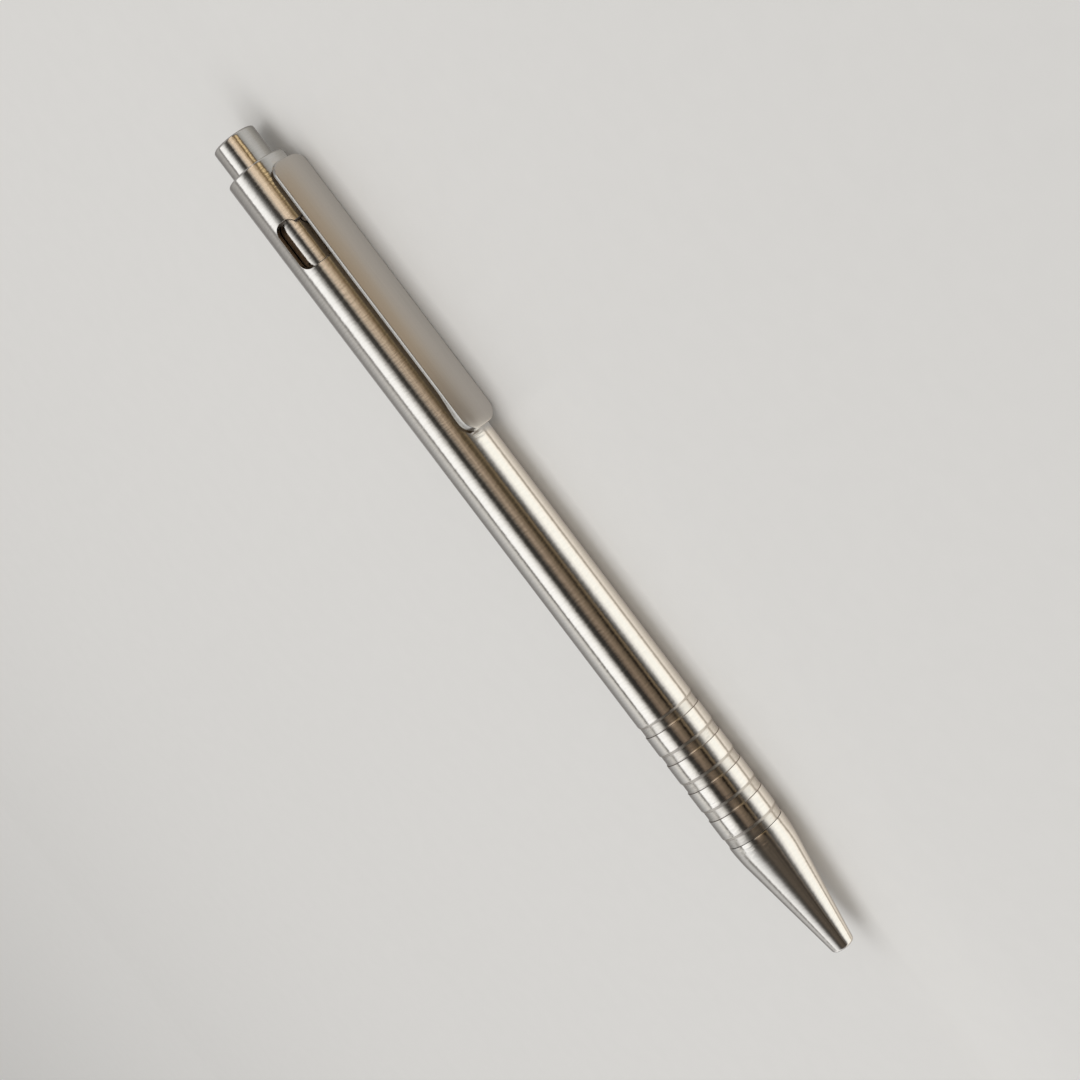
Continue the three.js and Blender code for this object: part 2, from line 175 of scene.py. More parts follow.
def turnedMetal(name, **changed):
    look = {**turnedLook, **changed}
    made = Finish(name, Metallic=1.0)
    rings = made.ringed(look["ringDrawn"], look["ringSize"], roughness=grainRough)
    bands = made.ringed(look["bandDrawn"], look["ringSize"] / look["bandCoarser"], detail=2)
    hands = made.noise(made.place(), look["handling"], detail=4, roughness=grainRough)
    facets = made.ringed(look["facetDrawn"], look["ringSize"] * look["facetScale"], detail=2)
    share = made.between(made.blend(rings, bands, look["bandShare"]), *latheMiddle, 0, 1)
    rough = made.blend(facets, hands, look["handShare"])
    return made.feed(
        Base_Color=made.mix(share, look["deep"], look["pale"]),
        Roughness=made.between(rough, *latheMiddle, look["roughLow"], look["roughHigh"]),
        Normal=made.bump(rings + facets * look["facetDepth"], look["ringDepth"]),
    )


# Blasted metal: an even fine grain with faint strokes along the blade.
blastedLook = {
    "pale": (0.84, 0.81, 0.78, 1), "deep": (0.75, 0.72, 0.69, 1), "roughLow": 0.34, "roughHigh": 0.44,
    "grain": 9000, "grainDepth": 0.000008,
    "strokes": 2600, "strokesDrawn": 0.04, "strokeShare": 0.4, "strokeDepth": 0.35,
}


def blastedMetal(name, look=blastedLook):
    made = Finish(name, Metallic=1.0)
    grain = made.noise(made.place(), look["grain"], roughness=grainRough)
    strokes = made.noise(made.place((look["strokesDrawn"], 1, 1)), look["strokes"], 4, grainRough)
    share = made.between(made.blend(grain, strokes, look["strokeShare"]), *latheMiddle, 0, 1)
    return made.feed(
        Base_Color=made.mix(share, look["deep"], look["pale"]),
        Roughness=made.between(strokes, *wornMiddle, look["roughLow"], look["roughHigh"]),
        Normal=made.bump(grain + strokes * look["strokeDepth"], look["grainDepth"]),
    )


# One even grain between two colours, with its size, its range of roughness and its depth in metres.
def worn(name, metal, colours, size, rough, depth):
    made = Finish(name, Metallic=metal)
    grain = made.noise(made.place(), size, detail=4, roughness=grainRough)
    share = made.between(grain, *wornMiddle, 0, 1)
    return made.feed(
        Base_Color=made.mix(share, (*colours[0], 1), (*colours[1], 1)),
        Roughness=made.between(grain, *wornMiddle, *rough),
        Normal=made.bump(grain, depth),
    )


tubeLook = {"tint": (0.93, 0.95, 0.95, 1), "flow": 2200, "flowDrawn": 0.03, "flowDepth": 0.000004}


def clearTube(name, look=tubeLook):
    made = Finish(name, Transmission_Weight=1.0, IOR=1.47, Roughness=0.06, Base_Color=look["tint"])
    flow = made.noise(made.place((look["flowDrawn"], 1, 1)), look["flow"], detail=2)
    return made.feed(Normal=made.bump(flow, look["flowDepth"]))


barrelMetal = turnedMetal("barrel_metal")
grooveMetal = turnedMetal("groove_metal", pale=(0.88, 0.86, 0.83, 1), deep=(0.78, 0.76, 0.73, 1),
                          roughLow=0.15, roughHigh=0.23, ringDepth=0.000003)
plungerMetal = turnedMetal("plunger_metal")
noseMetal = turnedMetal("nose_metal")
clipMetal = blastedMetal("clip_metal")
wallMetal = worn("groove_wall", 1.0, ((0.62, 0.59, 0.55), (0.74, 0.71, 0.67)), 3000, (0.28, 0.4), 0.000002)
# Painted shade: near-black brown metal on the clip's underside stands for the shade in the gap under the
# blade.
underShadeMetal = worn("clip_under_painted_shade", 1.0, ((0.10, 0.077, 0.053), (0.16, 0.123, 0.086)), 3000, (0.34, 0.46),
                  0.000002)
# Painted shade: near-black brown metal on the window's walls, the grooves' steep steps and the clip's post
# stands for the shade in these hollows and under the clip.
paintedShadeMetal = worn("painted_shade_metal", 1.0, ((0.11, 0.087, 0.065), (0.20, 0.155, 0.12)), 3000, (0.32, 0.46),
                   0.000004)
edgeMetal = worn("clip_edge", 1.0, ((0.64, 0.635, 0.62), (0.75, 0.745, 0.73)), 2600, (0.26, 0.36), 0.000001)
blackSteel = worn("screw_steel", 1.0, ((0.13, 0.13, 0.14), (0.2, 0.2, 0.21)), 1800, (0.35, 0.5), 0.000002)
wireSteel = worn("spring_steel", 1.0, ((0.6, 0.6, 0.59), (0.72, 0.72, 0.71)), 2400, (0.2, 0.34), 0.000001)
nickelSilver = turnedMetal("point_metal", pale=(0.76, 0.72, 0.62, 1), deep=(0.66, 0.62, 0.53, 1),
                           roughLow=0.14, roughHigh=0.26, ringSize=9000, ringDepth=0.0000012, handling=900)
ballMetal = worn("ball_metal", 1.0, ((0.5, 0.5, 0.51), (0.58, 0.58, 0.59)), 4000, (0.06, 0.14), 0.0000003)
ringRubber = worn("ring_rubber", 0.0, ((0.02, 0.02, 0.02), (0.045, 0.045, 0.045)), 3000, (0.55, 0.75),
                  0.000006)
tubePlastic = clearTube("tube_plastic")
plugPlastic = worn("plug_plastic", 0.0, ((0.84, 0.83, 0.8), (0.9, 0.89, 0.87)), 900, (0.35, 0.5), 0.000003)
holderPlastic = worn("holder_plastic", 0.0, ((0.022, 0.022, 0.025), (0.035, 0.035, 0.04)), 900, (0.3, 0.45),
                     0.000003)
inkWet = worn("ink", 0.0, ((0.004, 0.005, 0.012), (0.008, 0.01, 0.02)), 500, (0.15, 0.25), 0.000001)
greaseGel = worn("grease", 0.0, ((0.72, 0.69, 0.52), (0.8, 0.78, 0.64)), 700, (0.2, 0.35), 0.000008)
print("finishes made")


# How finely things are drawn: steps round the barrel and nose, round the plunger and round what is thin,
# steps on a small corner and on an arc, from what size it is an arc, and how close points become one.
drawing = {
    "wideSteps": 192, "rodSteps": 160, "thinSteps": 96, "cornerSteps": 5, "arcSteps": 14, "arcFrom": 1,
    "weld": 0.00001,
}


def bevel(bm, geom, size, segments, affect="VERTICES"):
    bmesh.ops.bevel(bm, geom=geom, offset=size, affect=affect, segments=segments, profile=0.5, material=-1)


# Turns what is drawn about the pen's axis, and gives back its last copy.
def spin(bm, geom, angle, steps, **how):
    turned = bmesh.ops.spin(bm, geom=geom, cent=(0, 0, 0), axis=(1, 0, 0), angle=angle, steps=steps, **how)
    return turned["geom_last"]


def weld(bm):
    bmesh.ops.remove_doubles(bm, verts=bm.verts, dist=drawing["weld"])
    bmesh.ops.recalc_face_normals(bm, faces=bm.faces)
    return bm


# A wire of (station, radius) corners, some of them rounded, turned about the pen's axis.
def lathe(profile, rounded=None, closed=False, steps=drawing["rodSteps"]):
    bm = bmesh.new()
    corners = [bm.verts.new((station, 0, radius)) for station, radius in profile]
    pairs = list(zip(corners, corners[1:]))
    if closed:
        pairs.append((corners[-1], corners[0]))
    for pair in pairs:
        bm.edges.new(pair)
    for size, places in (rounded or {}).items():
        small = size < drawing["arcFrom"]
        bevel(bm, [corners[i] for i in places], size, drawing["cornerSteps" if small else "arcSteps"])
    spin(bm, bm.verts[:] + bm.edges[:], 2 * math.pi, steps, use_merge=True)
    return weld(bm)


def turnedThin(profile, rounded=None, closed=True):
    return lathe(profile, rounded, closed, drawing["thinSteps"])


# A rounded rectangle in the clip's plane, from one height above the axis to another, drawn in by its draft at
# the top.
def slab(rear, front, width, rearCorner, frontCorner, bottom, top, draft=0):
    bm = bmesh.new()
    places = ((rear, -1), (front, -1), (front, 1), (rear, 1))
    corners = [bm.verts.new((x, side * width / 2, bottom)) for x, side in places]
    bm.faces.new(corners)
    for size, pair in ((rearCorner, (0, 3)), (frontCorner, (1, 2))):
        bevel(bm, [corners[i] for i in pair], size, drawing["arcSteps"])
    raised = bmesh.ops.extrude_face_region(bm, geom=bm.faces[:])["geom"]
    upper = [v for v in raised if isinstance(v, bmesh.types.BMVert)]
    bmesh.ops.translate(bm, vec=(0, 0, top - bottom), verts=upper)
    if draft:
        middle = (rear + front) / 2
        narrower = Matrix.Diagonal((1 - 2 * draft / (front - rear), 1 - 2 * draft / width, 1, 1))
        aside = Matrix.Translation((middle, 0, 0))
        bmesh.ops.transform(bm, matrix=aside @ narrower @ aside.inverted(), verts=upper)
    bmesh.ops.recalc_face_normals(bm, faces=bm.faces)
    return bm


# A circle across the way of a wire or ring, ready to be turned about the pen's axis.
def crossSection(station, radius, section, segments, filled):
    bm = bmesh.new()
    bmesh.ops.create_circle(bm, segments=segments, radius=section, cap_ends=filled)
    bmesh.ops.rotate(bm, verts=bm.verts, cent=(0, 0, 0), matrix=Matrix.Rotation(math.pi / 2, 3, "X"))
    bmesh.ops.translate(bm, vec=(station, 0, radius), verts=bm.verts)
    return bm


def madeObject(name, bm):
    mesh = bpy.data.meshes.new(name)
    bm.to_mesh(mesh)
    bm.free()
    piece = bpy.data.objects.new(name, mesh)
    bpy.context.scene.collection.objects.link(piece)
    return piece


def cutAway(piece, cutters):
    for cutter in cutters:
        cut = piece.modifiers.new("cut", "BOOLEAN")
        cut.object, cut.operation, cut.solver = cutter, "DIFFERENCE", "EXACT"
    bpy.context.view_layer.update()
    solved = piece.evaluated_get(bpy.context.evaluated_depsgraph_get())
    whole = bpy.data.meshes.new_from_object(solved)
    piece.modifiers.clear()
    piece.data = whole
    for cutter in cutters:
        bpy.data.objects.remove(cutter)


# Smooth shading that stops at corners, then the piece laid down, dressed and given to its body. Where a piece
# has several finishes, pick gives a face's by its middle, as station, radius and normal.
def finishPiece(piece, materials, body, slotName, nodes, sharp=30, pick=None):
    piece.data.materials.clear()
    for material in materials:
        piece.data.materials.append(material)
    bm = bmesh.new()
    bm.from_mesh(piece.data)
    for face in bm.faces if pick else ():
        middle = face.calc_center_median()
        chosen = pick(middle.x, math.hypot(middle.y, middle.z), face.normal)
        face.material_index = materials.index(chosen)
    bmesh.ops.transform(bm, matrix=layDown, verts=bm.verts)
    for face in bm.faces:
        face.smooth = True
    for edge in bm.edges:
        if len(edge.link_faces) == 2 and edge.calc_face_angle(0) > math.radians(sharp):
            edge.smooth = False
    bm.to_mesh(piece.data)
    bm.free()
    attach(piece, body)
    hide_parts(*nodes)


# Barrel: one turned tube with its rounded rear rim, bore, ring groove, thread bore and five grip grooves.
barrelRear, barrelFront = reach("barrel")
barrelSizes = {
    "rear": barrelRear, "front": barrelFront, "radius": 4.75, "bore": 3.57, "rim": 0.4, "threadBore": 4.0,
    "boreEnd": barrelFront - 8.25, "mouth": 4.19, "mouthRear": barrelFront - 0.95,
    "ringFrom": barrelRear + 1.89, "ringTo": barrelRear + 3.01, "ringRoom": 4.09,
    "grooves": 5, "firstGroove": barrelFront - 22.13, "pitch": 5.11, "grooveWidth": 1.89, "grooveDepth": 0.15,
    "ramp": 0.3, "foot": 0.3, "step": 0.08, "footHeight": 0.065, "softEdge": 0.12, "crispEdge": 0.04,
    "grooveFrom": 4.5, "grooveTo": 4.748, "frontFacing": 0.1, "rearFacing": -0.5,
}
windowSizes = {
    "rear": barrelRear + 5.05, "front": barrelRear + 16.6, "width": 3.7, "corner": 1.6,
    "earRear": barrelRear + 8.9, "channelRear": barrelRear + 9.91, "channelInner": 0.5,
    "swing": 65.6, "swingSteps": 28, "above": 2, "edgeFrom": 4.63, "edgeTo": 4.95, "edgeOut": 0.32,
    "beside": 0.5, "wallFrom": 3.6, "wallTo": 4.746,
}


# A lane's outline with sloping sides that follow the barrel's round surface, to break the window's edge. It
# starts as a slab of one millimetre, whose upper half goes.
def edgeCutter(rear, sizes):
    grown, tall = sizes["edgeOut"], 1
    corner = sizes["corner"] + grown
    bm = slab(rear - grown, sizes["front"] + grown, sizes["width"] + 2 * grown, corner, corner, 0, tall)
    bmesh.ops.delete(bm, geom=[v for v in bm.verts if v.co.z > tall / 2], context="VERTS")
    lower = bm.faces[:]
    bmesh.ops.inset_region(bm, faces=lower, thickness=grown, use_even_offset=True)
    inner = {v for face in lower for v in face.verts}
    rim = [e for e in bm.edges if e.is_boundary]
    bmesh.ops.contextual_create(bm, geom=rim)
    for vert in bm.verts:
        radius = sizes["edgeFrom"] if vert in inner else sizes["edgeTo"]
        vert.co.z = math.sqrt(radius ** 2 - vert.co.y ** 2)
    bmesh.ops.recalc_face_normals(bm, faces=bm.faces)
    return bm


# A sector of a ring about the pen's axis, from rear to front at its inner radius and wider at its outer one.
def sector(rear, front, inner, outer, wider, swing, steps):
    bm = bmesh.new()
    places = ((rear, inner), (front, inner), (front + wider, outer), (rear - wider, outer))
    bm.faces.new([bm.verts.new((x, 0, z)) for x, z in places])
    spin(bm, bm.faces[:] + bm.edges[:] + bm.verts[:], swing, steps)
    return weld(bm)


def windowCutters(sizes):
    swing = math.radians(sizes["swing"])
    turn = Matrix.Rotation(swing, 3, "X")
    top = barrelSizes["radius"] + sizes["above"]
    shape = (sizes["width"], sizes["corner"], sizes["corner"], 0, top)
    channel = (sizes["channelRear"], sizes["front"])
    slope = (sizes["edgeFrom"], sizes["edgeTo"], sizes["edgeOut"])
    lanes = {
        "long_lane": slab(sizes["rear"], sizes["front"], *shape),
        "long_edge": edgeCutter(sizes["rear"], sizes),
        "ear_lane": slab(sizes["earRear"], sizes["front"], *shape),
        "ear_edge": edgeCutter(sizes["earRear"], sizes),
        "channel": sector(*channel, sizes["channelInner"], top, 0, swing, sizes["swingSteps"]),
        "channel_edge": sector(*channel, *slope, swing, sizes["swingSteps"]),
    }
    for name in ("ear_lane", "ear_edge"):
        bmesh.ops.rotate(lanes[name], verts=lanes[name].verts, cent=(0, 0, 0), matrix=turn)
    return [madeObject(name, bm) for name, bm in lanes.items()]


# Soft and crisp hold places in the profile, where two corners come before the grooves. The last groove runs
# out at the barrel's front end.
def makeBarrel(sizes):
    outside, soft, crisp = [], [], []
    floor = sizes["radius"] - sizes["grooveDepth"]
    for i in range(sizes["grooves"]):
        rear = sizes["firstGroove"] + i * sizes["pitch"]
        front = rear + sizes["grooveWidth"]
        outside += [(rear, sizes["radius"]), (rear + sizes["ramp"], floor)]
        soft += [len(outside), len(outside) + 1]
        if front < sizes["front"]:
            outside += [(front - sizes["foot"], floor), (front - sizes["step"], floor + sizes["footHeight"]),
                        (front, sizes["radius"])]
            crisp += [len(outside) - 1, len(outside), len(outside) + 1]
    profile = [
        (sizes["rear"], sizes["bore"]), (sizes["rear"], sizes["radius"]), *outside,
        (sizes["front"], floor), (sizes["front"], sizes["mouth"]), (sizes["mouthRear"], sizes["mouth"]),
        (sizes["mouthRear"], sizes["threadBore"]), (sizes["boreEnd"], sizes["threadBore"]),
        (sizes["boreEnd"], sizes["bore"]), (sizes["ringTo"], sizes["bore"]),
        (sizes["ringTo"], sizes["ringRoom"]), (sizes["ringFrom"], sizes["ringRoom"]),
        (sizes["ringFrom"], sizes["bore"]),
    ]
    rims = {sizes["rim"]: [1], sizes["softEdge"]: [0, *soft], sizes["crispEdge"]: [*crisp, len(outside) + 2]}
    return madeObject("barrel_tube", lathe(profile, rims, closed=True, steps=drawing["wideSteps"]))


# The window's walls, in painted shade, and its broken edge, then the grooves' floors and walls, where the
# steep steps that face the rear carry a line of painted shade, then the rest.
def barrelFinish(station, radius, normal, barrel=barrelSizes, window=windowSizes):
    windowRear, windowFront = window["rear"] - window["beside"], window["front"] + window["beside"]
    if windowRear < station < windowFront and window["wallFrom"] < radius < window["wallTo"]:
        return edgeMetal if radius > window["edgeFrom"] else paintedShadeMetal
    if station > barrel["firstGroove"] and barrel["grooveFrom"] < radius < barrel["grooveTo"]:
        if normal.x > barrel["frontFacing"]:
            return wallMetal
        return paintedShadeMetal if normal.x < barrel["rearFacing"] else grooveMetal
    return barrelMetal


barrelTube = makeBarrel(barrelSizes)
cutAway(barrelTube, windowCutters(windowSizes))
barrelMetals = [barrelMetal, grooveMetal, paintedShadeMetal, edgeMetal, wallMetal]
finishPiece(barrelTube, barrelMetals, "barrel", "barrel_metal", ["barrel"], pick=barrelFinish)
print("barrel made")


# The clip's post. It and the pocket that takes it have round ends, with a little left flat.
postSizes = {
    "rear": windowSizes["rear"] + 0.15, "front": windowSizes["rear"] + 6.4, "width": 3.3, "bottom": -1.2,
    "intoClip": 0.3, "play": 0.15, "endFlat": 0.15,
}

# Plunger: the button at its rear, a pocket for the clip's post, the lock screw's bore and the front ring's
# groove.
plungerFront = reach("bolt_plunger")[1]
plungerSizes = {
    "radius": 3.45, "edge": 0.4, "endEdge": 0.15, "ringEdge": 0.05, "length": plungerFront,
    "lockBore": 1.6, "lockTo": (postSizes["rear"] + postSizes["front"]) / 2,
    "ringFrom": plungerFront - 3.34, "ringTo": plungerFront - 2.26, "ringFloor": 2.97,
    "pocketRear": postSizes["rear"] - postSizes["play"],
    "pocketFront": postSizes["front"] + postSizes["play"],
    "pocketWidth": 3.6, "pocketFloor": -1.35, "above": 2,
}


def makePlunger(sizes):
    profile = [
        (0, 0), (0, sizes["radius"]), (sizes["ringFrom"], sizes["radius"]),
        (sizes["ringFrom"], sizes["ringFloor"]), (sizes["ringTo"], sizes["ringFloor"]),
        (sizes["ringTo"], sizes["radius"]), (sizes["length"], sizes["radius"]),
        (sizes["length"], sizes["lockBore"]), (sizes["lockTo"], sizes["lockBore"]), (sizes["lockTo"], 0),
    ]
    rims = {sizes["edge"]: [1], sizes["endEdge"]: [6], sizes["ringEdge"]: [2, 5]}
    return madeObject("plunger_rod", lathe(profile, rims))


def makePocket(sizes):
    corner = sizes["pocketWidth"] / 2 - postSizes["endFlat"]
    return madeObject("pocket", slab(
        sizes["pocketRear"], sizes["pocketFront"], sizes["pocketWidth"], corner, corner, sizes["pocketFloor"],
        sizes["radius"] + sizes["above"]))


plungerRod = makePlunger(plungerSizes)
cutAway(plungerRod, [makePocket(plungerSizes)])
finishPiece(plungerRod, [plungerMetal], "bolt", "plunger_metal", ["bolt_plunger"])


# Clip: a flat blade with rounded corners and worn bright edges, thickened to a foot, and the post under it.
clipRear, clipFront = reach("clip")
clipSizes = {
    "rear": clipRear, "front": clipFront, "width": 6.92, "under": 5.42, "outer": 6.05, "rearCorner": 2.0,
    "frontCorner": 2.4, "edge": 0.13, "edgeSteps": 3, "underEdge": 0.1, "underSteps": 2, "draft": 0.05,
    "footUnder": 4.95, "footLength": 3.2, "ramp": 4.0,
    "edgeTurn": 1, "topRim": 0.9, "underRim": -0.5, "topFacing": 0.6, "underFacing": -0.8,
}


# An edge of the blade turns by more than edgeTurn, in radians. The rims and facings say how far up or down a
# face points, from -1 to 1.
def makeClip(sizes):
    bm = slab(sizes["rear"], sizes["front"], sizes["width"], sizes["rearCorner"], sizes["frontCorner"],
              sizes["under"], sizes["outer"], sizes["draft"])
    footRear = sizes["front"] - sizes["footLength"]
    near = 0.01
    for station in (footRear - sizes["ramp"], footRear):
        everything = bm.verts[:] + bm.edges[:] + bm.faces[:]
        bmesh.ops.bisect_plane(bm, geom=everything, plane_co=(station, 0, 0), plane_no=(1, 0, 0), dist=0.0001)
    middle = (sizes["under"] + sizes["outer"]) / 2
    foot = [v for v in bm.verts if v.co.x > footRear - near and v.co.z < middle]
    bmesh.ops.translate(bm, vec=(0, 0, sizes["footUnder"] - sizes["under"]), verts=foot)
    rim = [e for e in bm.edges if all(v.co.z > middle for v in e.verts)
           and e.calc_face_angle(0) > sizes["edgeTurn"]
           and any(abs(f.normal.z) > sizes["topRim"] for f in e.link_faces)]
    bevel(bm, rim, sizes["edge"], sizes["edgeSteps"], "EDGES")
    under = [e for e in bm.edges if all(v.co.z < middle for v in e.verts)
             and e.calc_face_angle(0) > sizes["edgeTurn"]
             and any(f.normal.z < sizes["underRim"] for f in e.link_faces)]
    bevel(bm, under, sizes["underEdge"], sizes["underSteps"], "EDGES")
    return madeObject("clip_blade", bm)


def makePost(sizes):
    corner = sizes["width"] / 2 - sizes["endFlat"]
    return madeObject("clip_post", slab(
        sizes["rear"], sizes["front"], sizes["width"], corner, corner, sizes["bottom"],
        clipSizes["under"] + sizes["intoClip"]))


# A face that points up is the blasted face, one that points down takes painted shade for the gap under the
# blade, and the rest are edges.
def clipFinish(station, radius, normal):
    if normal.z > clipSizes["topFacing"]:
        return clipMetal
    return underShadeMetal if normal.z < clipSizes["underFacing"] else edgeMetal


finishPiece(makeClip(clipSizes), [clipMetal, edgeMetal, underShadeMetal], "bolt", "clip_metal", ["clip"], sharp=40,
            pick=clipFinish)
# The post takes painted shade, for the shade under the clip.
finishPiece(makePost(postSizes), [paintedShadeMetal], "bolt", "clip_metal", ["clip"])
print("bolt made")


# Nose cone: it leaves the barrel's line on a wide arc, runs down a cone and ends in a rounded lip round the
# point. The thread on its shank is a wound ridge, whose root lies inside the shank's core.
shankRear, noseFront = reach("nose_cone")
noseSizes = {
    "rear": barrelFront + 0.05, "front": noseFront, "radius": 4.75, "arcRadius": 28, "arcShare": 0.9,
    "tip": 1.81, "lip": 0.42, "edgeDepth": 0.07, "edgeWidth": 0.2,
    "bore": 3.3, "boreEnd": 132.5, "springBore": 2.5, "ledge": 138.0, "hole": 1.25,
    "shankRear": shankRear, "shank": 3.85, "core": 3.52, "coreEdge": 0.04, "neck": 3.55,
    "neckRear": barrelFront - 0.8,
    "threadFrom": shankRear + 0.4, "threadPitch": 0.75, "threadTurns": 7.6, "threadSteps": 64,
    "threadShares": (0.02, 0.4, 0.56, 0.94), "rootIn": 0.1, "crestIn": 0.01,
    "sealRing": 3.87, "sealPlace": barrelFront - 0.4, "sealSection": 0.26, "sealSteps": 20,
}


def makeNose(sizes):
    length = sizes["front"] - sizes["rear"]
    centre = sizes["radius"] - sizes["arcRadius"]
    toTip = math.hypot(length, sizes["tip"] - centre)
    touch = math.atan2(sizes["tip"] - centre, length) + math.acos(sizes["arcRadius"] / toTip)
    fall = math.pi / 2 - touch
    tangent = sizes["arcRadius"] * math.tan(fall / 2)
    profile = [
        (sizes["rear"], sizes["neck"]), (sizes["rear"], sizes["radius"] - sizes["edgeDepth"]),
        (sizes["rear"] + sizes["edgeWidth"], sizes["radius"]), (sizes["rear"] + tangent, sizes["radius"]),
        (sizes["front"], sizes["tip"]), (sizes["front"], sizes["hole"]), (sizes["ledge"], sizes["hole"]),
        (sizes["ledge"], sizes["springBore"]), (sizes["boreEnd"], sizes["springBore"]),
        (sizes["boreEnd"], sizes["bore"]), (sizes["shankRear"], sizes["bore"]),
        (sizes["shankRear"], sizes["core"]), (sizes["neckRear"], sizes["core"]),
        (sizes["neckRear"], sizes["neck"]),
    ]
    rims = {tangent * sizes["arcShare"]: [3], sizes["lip"]: [4], sizes["coreEdge"]: [11]}
    return madeObject("nose_shell", lathe(profile, rims, closed=True, steps=drawing["wideSteps"]))


def makeThread(sizes):
    bm = bmesh.new()
    pitch, oneTurn = sizes["threadPitch"], sizes["threadSteps"]
    root, crest = sizes["core"] - sizes["rootIn"], sizes["shank"] - sizes["crestIn"]
    places = zip(sizes["threadShares"], (root, crest, crest, root))
    bm.faces.new([bm.verts.new((sizes["threadFrom"] + pitch * share, 0, radius)) for share, radius in places])
    steps = round(sizes["threadTurns"] * oneTurn)
    spin(bm, bm.faces[:] + bm.edges[:] + bm.verts[:], 2 * math.pi * steps / oneTurn, steps,
         dvec=(pitch / oneTurn, 0, 0))
    bmesh.ops.recalc_face_normals(bm, faces=bm.faces)
    return madeObject("nose_thread", bm)


def makeSeal(sizes):
    bm = crossSection(sizes["sealPlace"], sizes["sealRing"], sizes["sealSection"], sizes["sealSteps"], False)
    spin(bm, bm.verts[:] + bm.edges[:], 2 * math.pi, drawing["thinSteps"], use_merge=True)
    bmesh.ops.recalc_face_normals(bm, faces=bm.faces)
    return madeObject("nose_ring", bm)


finishPiece(makeNose(noseSizes), [noseMetal], "nose", "nose_metal", ["nose_cone"])
finishPiece(makeThread(noseSizes), [noseMetal], "nose", "nose_metal", ["nose_cone"], sharp=20)
finishPiece(makeSeal(noseSizes), [ringRubber], "nose", "ring_rubber", ["nose_seal"])
print("nose made")


# Return spring: one wire wound with close end turns, which the refill presses. Nothing here shortens it.
springSizes = {
    "rear": 127.23, "front": 137.67, "ledge": 137.85, "radius": 1.98, "wire": 0.18, "wireSteps": 12,
    "turns": 8, "endTurn": 0.82, "steps": 48, "travel": 5.0,
}


def makeSpring(sizes):
    bm = crossSection(sizes["rear"], sizes["radius"], sizes["wire"], sizes["wireSteps"], True)
    openTurn = (sizes["front"] - sizes["rear"] - 2 * sizes["endTurn"]) / (sizes["turns"] - 2)
    last = bm.faces[:] + bm.edges[:] + bm.verts[:]
    for turns, pitch in ((1, sizes["endTurn"]), (sizes["turns"] - 2, openTurn), (1, sizes["endTurn"])):
        forward = (pitch / sizes["steps"], 0, 0)
        last = spin(bm, last, 2 * math.pi * turns, turns * sizes["steps"], dvec=forward)
    bmesh.ops.recalc_face_normals(bm, faces=bm.faces)
    return madeObject("spring_wire", bm)


springWire = makeSpring(springSizes)
finishPiece(springWire, [wireSteel], "nose", "spring_steel", ["return_spring"], sharp=60)
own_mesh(springWire)
print("spring made")


# Gel refill: tail plug, clear tube, grease with a dished rear end, ink, tip holder with a flange that the
# spring presses on, and the nickel silver point with its ball.
refillSizes = {
    "outer": 3.0, "inner": 2.55, "fill": 2.5,
    "plugRear": 34.6, "plugLength": 4.4, "plugBore": 0.6, "plugGap": 0.05,
    "plugEdge": 0.15, "plugInnerEdge": 0.1,
    "tubeRear": 35.65, "tubeFront": 126.3, "tubeEdge": 0.08,
    "greaseRear": 62.65, "greaseFront": 68.65, "dishDepth": 0.5, "dishRadius": 1.2, "dishEdge": 0.35,
    "inkRear": 68.7, "inkFront": 121.3,
    "holderRear": 121.35, "holderBore": 0.45, "shoulder": 126.9, "flange": 0.55, "holderFront": 132.4,
    "holderNose": 1.65, "holderEdge": 0.12, "socket": 0.85, "socketDepth": 3.05,
    "shankDepth": 3, "shank": 0.8, "inkHole": 0.175, "pointRear": 132.45, "point": 1.13, "pointEdge": 0.1,
    "coneFrom": 141.5, "coneEdge": 0.3, "coneBack": 0.5, "coneEnd": 0.56,
    "rim": 144.85, "rimBack": 0.1, "rimOut": 0.51, "rimRadius": 0.43, "seat": 0.39,
    "ball": 0.35, "ballPlace": 144.75, "ballSteps": (32, 20),
}


